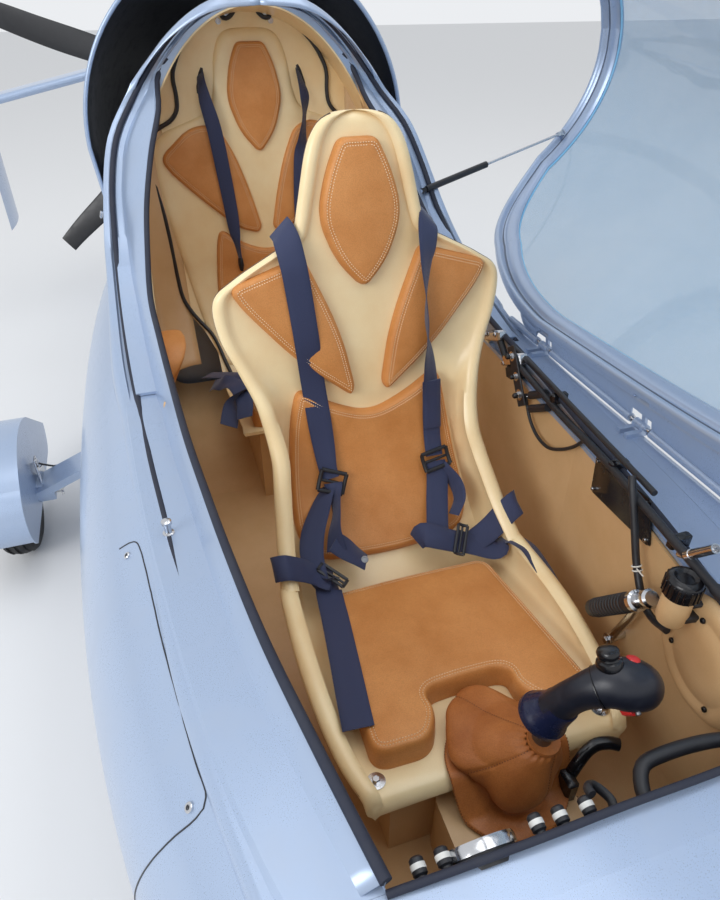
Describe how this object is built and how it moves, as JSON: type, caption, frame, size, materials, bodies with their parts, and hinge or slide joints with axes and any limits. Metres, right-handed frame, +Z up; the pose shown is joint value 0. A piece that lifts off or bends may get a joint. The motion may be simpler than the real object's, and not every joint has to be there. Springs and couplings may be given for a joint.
{
  "type": "gyrocopter",
  "caption": "Enclosed tandem gyrocopter with a side-hinged canopy open, bucket seats, free rotor, pusher propeller, faired wheels and a drooped tail",
  "frame": {"origin": "on the ground under the centre of the rotor hub, at the bottom centre of the bounding box", "axes": "+X to the nose, +Y to port, +Z up"},
  "size_m": [8.5, 2.063, 2.722],
  "materials": {
    "body_paint": "gloss",
    "liner_paint": "satin",
    "seat_gelcoat": "gloss",
    "caramel_leather": "satin",
    "acrylic": "gloss",
    "alloy": "satin",
    "tyre_rubber": "matte",
    "black_parts": "satin",
    "engine_metal": "satin",
    "bright_steel": "polished"
  },
  "bodies": {
    "airframe": {"hull": "body_paint", "engine_bay": "body_paint", "nose_deck": "body_paint", "cabin_back": "body_paint", "cockpit_liner": "liner_paint", "front_seat_shell": "seat_gelcoat", "rear_seat_shell": "seat_gelcoat", "mast": "alloy", "engine_cowl": "body_paint", "engine": "engine_metal", "tail_boom": "alloy", "fin": "body_paint", "stabilizer": "body_paint", "main_leg": "body_paint", "wheel_fairing_left": "body_paint", "wheel_fairing_right": "body_paint", "instrument_panel": "black_parts", "control_stick": "black_parts", "front_head_pad": "caramel_leather", "front_back_pad": "caramel_leather", "front_wing_pad_left": "caramel_leather", "front_wing_pad_right": "caramel_leather", "front_cushion": "caramel_leather", "rear_head_pad": "caramel_leather", "rear_back_pad": "caramel_leather", "rear_cushion": "caramel_leather"},
    "canopy": {"canopy_frame": "body_paint", "canopy_glass": "acrylic"},
    "strut_barrel": {"strut_cylinder": "black_parts"},
    "strut_piston": {"strut_rod": "bright_steel"},
    "fork": {"nose_fork": "alloy"},
    "nose_wheel": {"nose_tyre": "tyre_rubber", "nose_rim": "alloy"},
    "left_wheel": {"main_tyre_left": "tyre_rubber", "main_rim_left": "alloy"},
    "right_wheel": {"main_tyre_right": "tyre_rubber", "main_rim_right": "alloy"},
    "prop": {"propeller": "black_parts"},
    "roll_block": {"head_roll_block": "alloy"},
    "pitch_bar": {"head_pitch_bar": "alloy"},
    "rotor_shaft": {"rotor_tower": "alloy"},
    "rotor": {"hub_bar": "alloy", "rotor_blade_front": "alloy", "rotor_blade_rear": "alloy"},
    "tail_rudder": {"rudder": "body_paint"}
  },
  "joints": [
    {"name": "canopy_hinge", "type": "hinge", "parent": "airframe", "child": "canopy", "pos_m": [1.23, 0.462, 0.902], "axis": [1, 0, 0], "range_deg": [0, 80]},
    {"name": "strut_swing", "type": "hinge", "parent": "airframe", "child": "strut_barrel", "pos_m": [0.47, 0.386, 1.106], "axis": [0.8405, 0.1527, 0.5199], "range_deg": [0, 96.39]},
    {"name": "strut_slide", "type": "slide", "parent": "strut_barrel", "child": "strut_piston", "axis": [-0.2781, 0.945, 0.1719], "range_m": [-0.1981, 0]},
    {"name": "nose_steering", "type": "hinge", "parent": "airframe", "child": "fork", "pos_m": [2.11, 0, 0.45], "axis": [0, 0, 1], "range_deg": [-30, 30]},
    {"name": "rudder_hinge", "type": "hinge", "parent": "airframe", "child": "tail_rudder", "pos_m": [-1.93, 0, 0.8], "axis": [0, 0, 1], "range_deg": [-25.1, 25.1]},
    {"name": "nose_wheel_spin", "type": "hinge", "parent": "fork", "child": "nose_wheel", "pos_m": [2.08, 0, 0.2], "axis": [0, 1, 0], "continuous": true},
    {"name": "left_wheel_spin", "type": "hinge", "parent": "airframe", "child": "left_wheel", "pos_m": [0.26, 0.92, 0.2], "axis": [0, 1, 0], "continuous": true},
    {"name": "right_wheel_spin", "type": "hinge", "parent": "airframe", "child": "right_wheel", "pos_m": [0.26, -0.92, 0.2], "axis": [0, 1, 0], "continuous": true},
    {"name": "propeller_spin", "type": "hinge", "parent": "airframe", "child": "prop", "pos_m": [-0.86, 0, 1.22], "axis": [1, 0, 0], "continuous": true},
    {"name": "head_roll", "type": "hinge", "parent": "airframe", "child": "roll_block", "pos_m": [0.075, 0, 2.49], "axis": [1, 0, 0], "range_deg": [-8, 8]},
    {"name": "head_pitch", "type": "hinge", "parent": "roll_block", "child": "pitch_bar", "pos_m": [0.075, 0, 2.53], "axis": [0, 1, 0], "range_deg": [-16, 4]},
    {"name": "rotor_spin", "type": "hinge", "parent": "pitch_bar", "child": "rotor_shaft", "pos_m": [0, 0, 2.6], "axis": [0, 0, 1], "continuous": true},
    {"name": "rotor_teeter", "type": "hinge", "parent": "rotor_shaft", "child": "rotor", "pos_m": [0, 0, 2.7], "axis": [0, 1, 0], "range_deg": [-8, 8]}
  ],
  "couplings": [
    {"joint": "strut_swing", "follows": "canopy_hinge", "ratio": 1.2048},
    {"joint": "strut_slide", "follows": "canopy_hinge", "m_per_rad": -0.14185},
    {"joint": "rudder_hinge", "follows": "nose_steering", "ratio": -0.83333}
  ]
}
